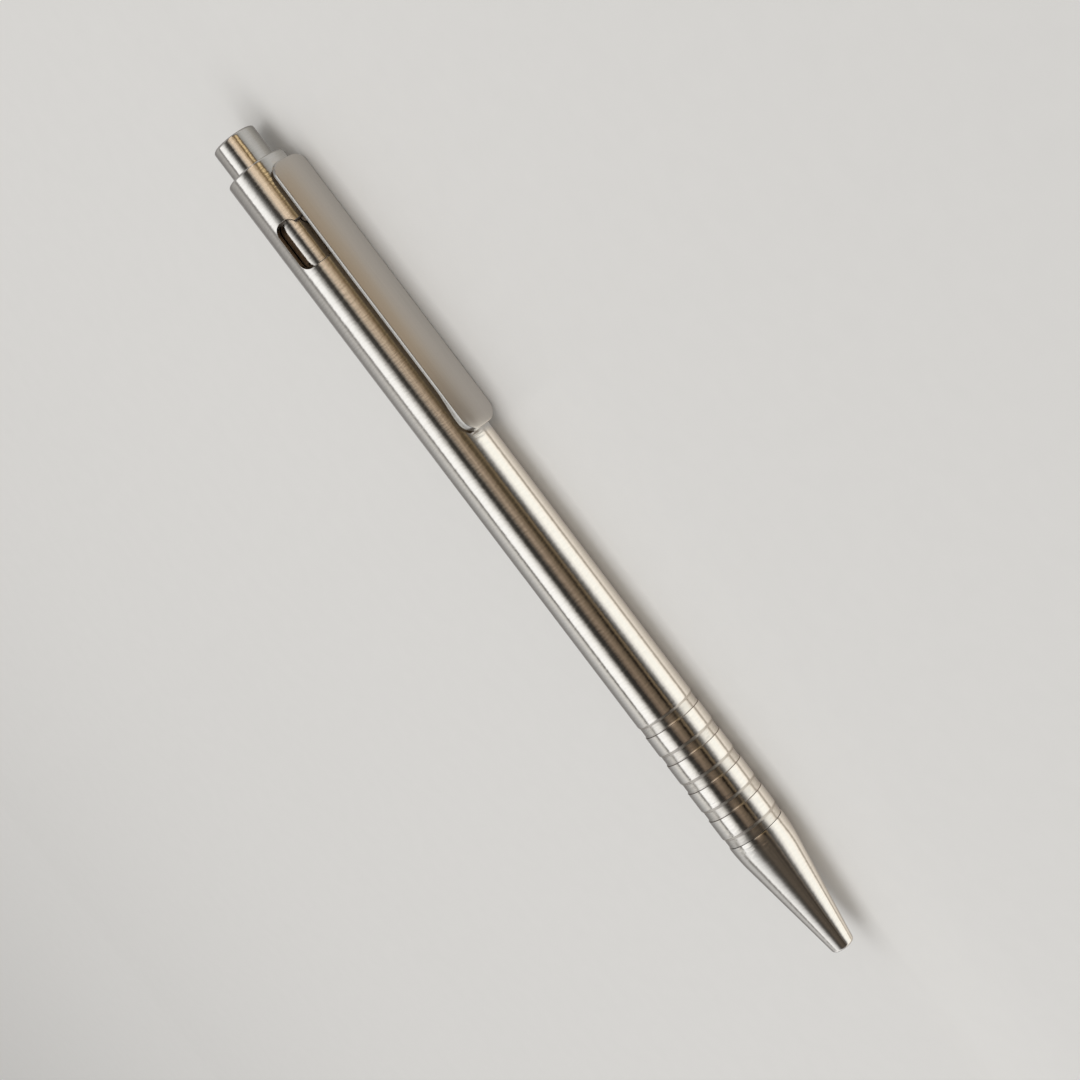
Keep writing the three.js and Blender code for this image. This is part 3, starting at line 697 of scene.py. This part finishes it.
def makeRefill(sizes):
    plugFront, tubeStop = sizes["plugRear"] + sizes["plugLength"], sizes["tubeRear"] - sizes["plugGap"]
    yield "refill_plug", plugPlastic, "plug_plastic", "refill_tail_plug", turnedThin([
        (sizes["plugRear"], sizes["plugBore"]), (sizes["plugRear"], sizes["outer"]),
        (tubeStop, sizes["outer"]), (tubeStop, sizes["fill"]), (plugFront, sizes["fill"]),
        (plugFront, sizes["plugBore"]),
    ], {sizes["plugEdge"]: [1], sizes["plugInnerEdge"]: [4]})
    yield "refill_pipe", tubePlastic, "tube_plastic", "refill_tube", turnedThin([
        (sizes["tubeRear"], sizes["inner"]), (sizes["tubeRear"], sizes["outer"]),
        (sizes["tubeFront"], sizes["outer"]), (sizes["tubeFront"], sizes["inner"]),
    ], {sizes["tubeEdge"]: [1, 2]})
    yield "refill_grease", greaseGel, "grease", "grease_follower", turnedThin([
        (sizes["greaseRear"], 0), (sizes["greaseRear"] + sizes["dishDepth"], sizes["dishRadius"]),
        (sizes["greaseRear"], sizes["fill"]), (sizes["greaseFront"], sizes["fill"]),
        (sizes["greaseFront"], 0),
    ], {sizes["dishEdge"]: [1]}, closed=False)
    yield "refill_ink", inkWet, "ink", "ink_column", turnedThin([
        (sizes["inkRear"], 0), (sizes["inkRear"], sizes["fill"]), (sizes["inkFront"], sizes["fill"]),
        (sizes["inkFront"], 0),
    ], closed=False)
    flangeRear, socketRear = sizes["shoulder"] - sizes["flange"], sizes["holderFront"] - sizes["socketDepth"]
    yield "refill_holder", holderPlastic, "holder_plastic", "tip_holder", turnedThin([
        (sizes["holderRear"], sizes["holderBore"]), (sizes["holderRear"], sizes["fill"]),
        (flangeRear, sizes["fill"]), (flangeRear, sizes["outer"]), (sizes["shoulder"], sizes["outer"]),
        (sizes["shoulder"], sizes["holderNose"]), (sizes["holderFront"], sizes["holderNose"]),
        (sizes["holderFront"], sizes["socket"]), (socketRear, sizes["socket"]),
        (socketRear, sizes["holderBore"]),
    ], {sizes["holderEdge"]: [4, 6]})
    shankRear, seatRear = sizes["holderFront"] - sizes["shankDepth"], sizes["ballPlace"] - sizes["seat"]
    yield "refill_point", nickelSilver, "point_metal", "writing_point", turnedThin([
        (shankRear, sizes["inkHole"]), (shankRear, sizes["shank"]), (sizes["pointRear"], sizes["shank"]),
        (sizes["pointRear"], sizes["point"]), (sizes["coneFrom"], sizes["point"]),
        (sizes["rim"] - sizes["coneBack"], sizes["coneEnd"]),
        (sizes["rim"] - sizes["rimBack"], sizes["rimOut"]),
        (sizes["rim"], sizes["rimRadius"]), (sizes["rim"], sizes["seat"]),
        (seatRear, sizes["seat"]), (seatRear, sizes["inkHole"]),
    ], {sizes["pointEdge"]: [3], sizes["coneEdge"]: [4]})
    ball = bmesh.new()
    around, across = sizes["ballSteps"]
    bmesh.ops.create_uvsphere(ball, u_segments=around, v_segments=across, radius=sizes["ball"])
    bmesh.ops.translate(ball, vec=(sizes["ballPlace"], 0, 0), verts=ball.verts)
    yield "refill_ball", ballMetal, "ball_metal", "writing_ball", ball


for name, material, slotName, node, bm in makeRefill(refillSizes):
    finishPiece(madeObject(name, bm), [material], "refill", slotName, [node])
print("refill made")

# These hidden pieces keep the frame's meshes and take a finish.
for node, material in (("lock_screw", blackSteel), ("rear_ring", ringRubber), ("front_ring", ringRubber)):
    kept = frame["nodes"][node]
    for place in kept.material_slots:
        place.material = material


# Floor, and what the metal mirrors: an arch of strips along the pen and a sheet at its foot, seen in
# reflections only. These sizes are in metres, and the angles in degrees.
studio = {
    "floor": (0.80, 0.79, 0.77), "floorShades": (0.985, 1.015), "floorGrain": 260, "floorSize": 4.0,
    "world": 0.5, "worldTint": (1.0, 0.99, 0.975, 1),
    "boxHeight": 0.6, "boxWidth": 0.42, "boxLength": 1.6, "boxLean": 3.5, "boxLevel": 1.2,
    "archRadius": 0.32, "archLength": 4.0, "archFrom": -2, "archTo": 212, "archSteps": 107,
    "sheetHeight": 0.0002, "sheetWidth": 0.6, "sheetAngles": (-90, 90),
}
# What the arch shows at the button's end, at the point's, ahead of the nose and far behind the button, by
# degrees above the horizon on the camera's side: a low gold strip, a tan wall, a dark gap, a window that
# brightens upwards, its frame and a grey wall behind the pen.
archAtButton = (
    (-2, (0.34, 0.33, 0.32)), (1, (0.13, 0.10, 0.065)), (4, (0.08, 0.06, 0.035)), (8, (0.68, 0.50, 0.27)),
    (15, (0.75, 0.56, 0.32)), (18, (0.15, 0.10, 0.045)), (21, (0.15, 0.10, 0.045)),
    (27, (0.55, 0.40, 0.25)), (36, (0.96, 0.77, 0.56)), (46, (0.95, 0.76, 0.57)),
    (53, (0.52, 0.45, 0.37)), (60, (0.042, 0.037, 0.032)), (70, (0.045, 0.042, 0.038)),
    (79, (0.18, 0.175, 0.165)), (88, (0.60, 0.59, 0.57)), (97, (0.90, 0.89, 0.87)),
    (114, (1.0, 0.99, 0.975)), (118.5, (0.23, 0.22, 0.21)), (123, (0.22, 0.21, 0.20)),
    (133, (0.39, 0.375, 0.355)), (158, (0.27, 0.26, 0.25)), (178, (0.19, 0.18, 0.17)),
    (212, (0.30, 0.29, 0.28)),
)
archAtPoint = (
    (-2, (0.06, 0.055, 0.05)), (2, (0.05, 0.04, 0.031)), (5, (0.34, 0.25, 0.15)),
    (9, (0.35, 0.255, 0.155)), (12.5, (0.025, 0.018, 0.012)), (17, (0.03, 0.022, 0.015)),
    (26, (0.165, 0.122, 0.082)), (39, (0.27, 0.20, 0.14)), (47, (0.19, 0.143, 0.104)),
    (55, (0.035, 0.03, 0.026)), (64, (0.028, 0.026, 0.023)), (70, (0.08, 0.075, 0.065)),
    (76, (0.42, 0.40, 0.37)), (83, (0.78, 0.76, 0.72)), (92, (1.0, 0.98, 0.94)), (111, (1.0, 0.99, 0.97)),
    (116, (0.20, 0.19, 0.175)), (119.5, (0.19, 0.18, 0.165)), (124, (0.56, 0.54, 0.50)),
    (131, (0.66, 0.64, 0.605)), (147, (0.46, 0.45, 0.435)), (162, (0.30, 0.295, 0.285)),
    (178, (0.21, 0.20, 0.19)), (212, (0.30, 0.29, 0.28)),
)
archAtNose = (
    (-2, (0.10, 0.09, 0.08)), (4, (0.17, 0.14, 0.11)), (13, (0.16, 0.13, 0.10)),
    (17, (0.07, 0.056, 0.043)), (26, (0.092, 0.074, 0.056)), (46, (0.125, 0.10, 0.076)),
    (58, (0.062, 0.052, 0.043)), (66, (0.06, 0.054, 0.047)), (74, (0.12, 0.115, 0.105)),
    (80, (0.24, 0.23, 0.22)), (86, (0.42, 0.41, 0.395)), (98, (0.68, 0.67, 0.655)),
    (113, (0.86, 0.85, 0.83)), (121, (0.90, 0.89, 0.87)), (126.5, (0.27, 0.26, 0.245)),
    (133, (0.22, 0.21, 0.20)), (140, (0.44, 0.43, 0.41)), (148, (0.50, 0.49, 0.475)),
    (160, (0.42, 0.41, 0.395)), (178, (0.20, 0.19, 0.18)), (212, (0.30, 0.29, 0.28)),
)
archBehind = (
    (-2, (0.30, 0.29, 0.28)), (10, (0.13, 0.10, 0.07)), (24, (0.16, 0.12, 0.08)), (33, (1.0, 0.79, 0.58)),
    (48, (1.0, 0.81, 0.62)), (60, (0.05, 0.045, 0.04)), (90, (0.28, 0.27, 0.26)),
    (130, (0.32, 0.31, 0.30)), (212, (0.30, 0.29, 0.28)),
)
# What the sheet shows beside the button, under the clip, at its foot and ahead of it, by millimetres from
# under the pen's axis towards the camera.
sheetAtButton = (
    (-300, (0.30, 0.29, 0.28)), (1.9, (0.19, 0.18, 0.165)), (3.3, (0.25, 0.24, 0.22)),
    (4.6, (0.30, 0.285, 0.26)), (6.2, (0.38, 0.37, 0.35)), (8.5, (0.42, 0.41, 0.395)),
    (12, (0.435, 0.425, 0.405)), (17, (0.41, 0.405, 0.39)), (34, (0.34, 0.335, 0.315)),
    (90, (0.28, 0.27, 0.26)), (300, (0.24, 0.23, 0.21)),
)
sheetAtClip = (
    (-300, (0.30, 0.29, 0.28)), (3, (0.31, 0.295, 0.275)), (5.2, (0.34, 0.325, 0.30)),
    (6.9, (0.41, 0.39, 0.36)), (8.5, (0.44, 0.41, 0.365)), (9.6, (0.43, 0.37, 0.295)),
    (10.8, (0.40, 0.325, 0.23)), (14, (0.35, 0.275, 0.19)), (24, (0.33, 0.275, 0.21)),
    (40, (0.28, 0.26, 0.24)), (300, (0.12, 0.11, 0.10)),
)
sheetAtFoot = (
    (-300, (0.30, 0.29, 0.28)), (3, (0.33, 0.315, 0.295)), (5.2, (0.36, 0.34, 0.315)),
    (6.9, (0.41, 0.39, 0.36)), (8.5, (0.38, 0.355, 0.32)), (9.6, (0.29, 0.26, 0.22)),
    (10.8, (0.20, 0.175, 0.145)), (14, (0.17, 0.145, 0.12)), (24, (0.26, 0.225, 0.18)),
    (300, (0.12, 0.11, 0.10)),
)
sheetAtPoint = (
    (-300, (0.24, 0.23, 0.22)), (2.5, (0.33, 0.29, 0.25)), (4.2, (0.60, 0.54, 0.46)),
    (5.1, (0.78, 0.71, 0.62)), (5.75, (0.36, 0.31, 0.25)), (6.0, (0.36, 0.31, 0.25)),
    (6.8, (1.0, 0.93, 0.82)), (9, (1.0, 0.98, 0.90)), (13.5, (1.0, 0.97, 0.88)),
    (16, (0.87, 0.84, 0.775)), (22, (0.66, 0.64, 0.60)), (28, (0.33, 0.32, 0.30)),
    (40, (0.21, 0.20, 0.187)), (64, (0.12, 0.113, 0.105)), (300, (0.035, 0.033, 0.03)),
)
# Ramps in metres along the pen: where one set of stops gives way to the next, where the gold strip fades, and
# how far the sheet's lines run in with the nose. The walls' colours fall off quickly past the button, and
# slowly after that.
crossings = {
    "arch": (
        ((-0.125, -0.06, 0.50), (-0.06, -0.01, 0.24), (-0.01, 0.07, 0.26)),
        ((0.128, 0.16, 1),),
        ((-0.21, -0.3, 1),),
    ),
    "sheet": (((-0.069, -0.066, 1),), ((-0.034, -0.021, 1),), ((-0.0189, -0.0179, 1),)),
    "gold": ((-0.172, -0.135, 0.68),),
    "noseLines": ((0.0535, 0.0575, 0.00125), (0.0575, 0.0735, 0.00205)),
}
# Far ahead of the point both lights fade to grey, and the arch's part behind the pen turns pale.
farLight = {"colour": (0.12, 0.11, 0.10, 1), "along": ((0.34, 0.8, 0.85),)}
aheadLight = {"colour": (0.85, 0.84, 0.82, 1), "along": ((0.27, 0.31, 1),), "over": ((115, 130, 1),)}
# The tan wall's and the gold strip's places over the arch, and the flecks in the wall.
archLook = {
    "wall": ((17, 26, 1), (50, 60, -1)), "strip": ((2, 7, 1), (15, 18, -1)),
    "streaks": 0.5, "fleckSize": 80, "fleckDrawn": 0.4,
}


# Light that changes over one number, shown by sets of stops that follow each other along the pen.
def glowing(name, stopSets, ends, number, shares, look=None):
    made = Finish(name)
    place = made.place(turned=False)
    parts = {axis: made.node("ShaderNodeSeparateXYZ", None, {0: place}, axis) for axis in ("X", "Y", "Z")}
    along, turn = parts["X"], number(made, parts)
    share = made.between(turn, ends[0], ends[1], 0, 1)
    sides = []
    for stops in stopSets:
        scaled = [((angle - ends[0]) / (ends[1] - ends[0]), shade) for angle, shade in stops]
        sides.append(made.node("ShaderNodeValToRGB", {"stops": scaled}, {"Fac": share}))
    colour = sides[0]
    for ramps, side in zip(shares, sides[1:]):
        colour = made.mix(made.rising(along, ramps), colour, side)
    colour = made.mix(made.rising(along, farLight["along"]), colour, farLight["colour"])
    level = 1.0
    if look:
        ahead = made.rising(along, aheadLight["along"]) * made.rising(turn, aheadLight["over"])
        colour = made.mix(ahead, colour, aheadLight["colour"])
        drawn = made.place((1, look["fleckDrawn"], look["fleckDrawn"]), turned=False)
        flecks = made.noise(drawn, look["fleckSize"], roughness=grainRough)
        darker = made.rising(turn, look["wall"]) * made.between(flecks, *wornMiddle, 0, look["streaks"])
        level = 1 - darker - made.rising(turn, look["strip"]) * made.rising(along, crossings["gold"])
    glow = made.node("ShaderNodeEmission", None, {"Color": colour, "Strength": level})
    made.tree.links.new(glow.socket, made.tree.nodes["Material Output"].inputs["Surface"])
    return made.material


def aboveHorizon(made, parts):
    y, z = parts["Y"] - axisPlace.y, parts["Z"] - axisPlace.z
    return made.maths("ARCTAN2", y * -1, z) * (180 / math.pi) + 90


# The sheet is seen by the angle from straight below the axis, which spreads its near part and draws its far
# part in.
def besideAxis(made, parts):
    drawnIn = made.rising(parts["X"], crossings["noseLines"])
    sideways = (parts["Y"] + drawnIn - axisPlace.y) * (1 / axisPlace.z)
    return made.maths("ARCTANGENT", sideways) * (180 / math.pi)


def byAngle(stops):
    return [(math.degrees(math.atan(place / 1000 / axisPlace.z)), colour) for place, colour in stops]


def mirroredOnly(card, material):
    card.data.materials.append(material)
    for path in ("camera", "diffuse", "transmission", "shadow", "volume_scatter"):
        setattr(card, "visible_" + path, False)


def makeFloor(sizes):
    ground = bmesh.new()
    bmesh.ops.create_grid(ground, x_segments=4, y_segments=4, size=sizes["floorSize"] / 2)
    floor = madeObject("floor", ground)
    finish = Finish("floor_paper", Roughness=0.7, Specular_IOR_Level=0.2)
    grain = finish.noise(finish.place(turned=False), sizes["floorGrain"])
    darker, paler = [(*(c * shade for c in sizes["floor"]), 1) for shade in sizes["floorShades"]]
    floor.data.materials.append(finish.feed(Base_Color=finish.mix(grain, darker, paler)))


def makeMirrored(sizes):
    arch = bmesh.new()
    start = math.radians(sizes["archFrom"])
    half = sizes["archLength"] / 2
    y = axisPlace.y + sizes["archRadius"] * math.cos(start)
    z = axisPlace.z + sizes["archRadius"] * math.sin(start)
    arch.edges.new([arch.verts.new((x, y, z)) for x in (-half, half)])
    bmesh.ops.spin(
        arch, geom=arch.verts[:] + arch.edges[:], cent=(0, axisPlace.y, axisPlace.z), axis=(1, 0, 0),
        angle=math.radians(sizes["archTo"] - sizes["archFrom"]), steps=sizes["archSteps"],
    )
    archSets = (archAtButton, archAtPoint, archAtNose, archBehind)
    archAngles = (sizes["archFrom"], sizes["archTo"])
    mirroredOnly(madeObject("arch", arch), glowing(
        "arch_light", archSets, archAngles, aboveHorizon, crossings["arch"], archLook))
    sheet = bmesh.new()
    bmesh.ops.create_grid(sheet, x_segments=2, y_segments=2, size=0.5)
    spread = Matrix.Diagonal((sizes["archLength"], sizes["sheetWidth"], 1, 1))
    bmesh.ops.transform(sheet, matrix=Matrix.Translation((0, axisPlace.y, sizes["sheetHeight"])) @ spread,
                        verts=sheet.verts)
    sheetSets = [byAngle(stops) for stops in (sheetAtButton, sheetAtClip, sheetAtFoot, sheetAtPoint)]
    mirroredOnly(madeObject("sheet", sheet), glowing(
        "sheet_light", sheetSets, sizes["sheetAngles"], besideAxis, crossings["sheet"]))


def makeLights(sizes):
    softbox = bpy.data.lights.new("softbox", "AREA")
    softbox.shape, softbox.size, softbox.size_y = "RECTANGLE", sizes["boxLength"], sizes["boxWidth"]
    softbox.energy = sizes["boxLevel"] * math.pi * sizes["boxLength"] * sizes["boxWidth"]
    lamp = bpy.data.objects.new("softbox", softbox)
    lean = math.radians(sizes["boxLean"])
    lamp.location = (0, -sizes["boxHeight"] * math.sin(lean), sizes["boxHeight"] * math.cos(lean))
    lamp.rotation_euler = (-lean, 0, 0)
    lamp.visible_glossy = False
    bpy.context.scene.collection.objects.link(lamp)
    world = bpy.data.worlds.new("studio_air")
    world.use_nodes = True
    background = world.node_tree.nodes["Background"]
    background.inputs["Color"].default_value = sizes["worldTint"]
    background.inputs["Strength"].default_value = sizes["world"]
    bpy.context.scene.world = world


makeFloor(studio)
makeMirrored(studio)
makeLights(studio)
bpy.context.scene.view_settings.view_transform = "Standard"

# Camera: above and in front of the clip, rolled so that the pen runs down the picture from left to right.
view = {
    "distance": 0.297, "elevation": 31.5, "rearward": 2.963, "roll": 52.86, "lens": 68.48, "sensor": 36,
    "along": -0.00108, "aside": 0.0004,
}


def makeCamera(sizes):
    up, back = math.radians(sizes["elevation"]), math.radians(sizes["rearward"])
    outward = Vector((0, math.cos(up), math.sin(up)))
    offset = outward * math.cos(back) - Vector((1, 0, 0)) * math.sin(back)
    centre = Vector((0, axisPlace.y, axisPlace.z))
    backward = offset.normalized()
    right = (Vector((1, 0, 0)) - backward * backward.x).normalized()
    upward = backward.cross(right)
    turn = math.radians(sizes["roll"])
    pictureRight = right * math.cos(turn) + upward * math.sin(turn)
    pictureUp = upward * math.cos(turn) - right * math.sin(turn)
    camera = bpy.data.objects.new("camera", bpy.data.cameras.new("camera"))
    basis = Matrix((pictureRight, pictureUp, backward)).transposed()
    aim = centre + right * sizes["along"] + upward * sizes["aside"]
    camera.matrix_world = Matrix.Translation(aim + offset * sizes["distance"]) @ basis.to_4x4()
    camera.data.lens = sizes["lens"]
    camera.data.sensor_width = sizes["sensor"]
    bpy.context.scene.collection.objects.link(camera)
    bpy.context.scene.camera = camera


makeCamera(view)
print("studio made")
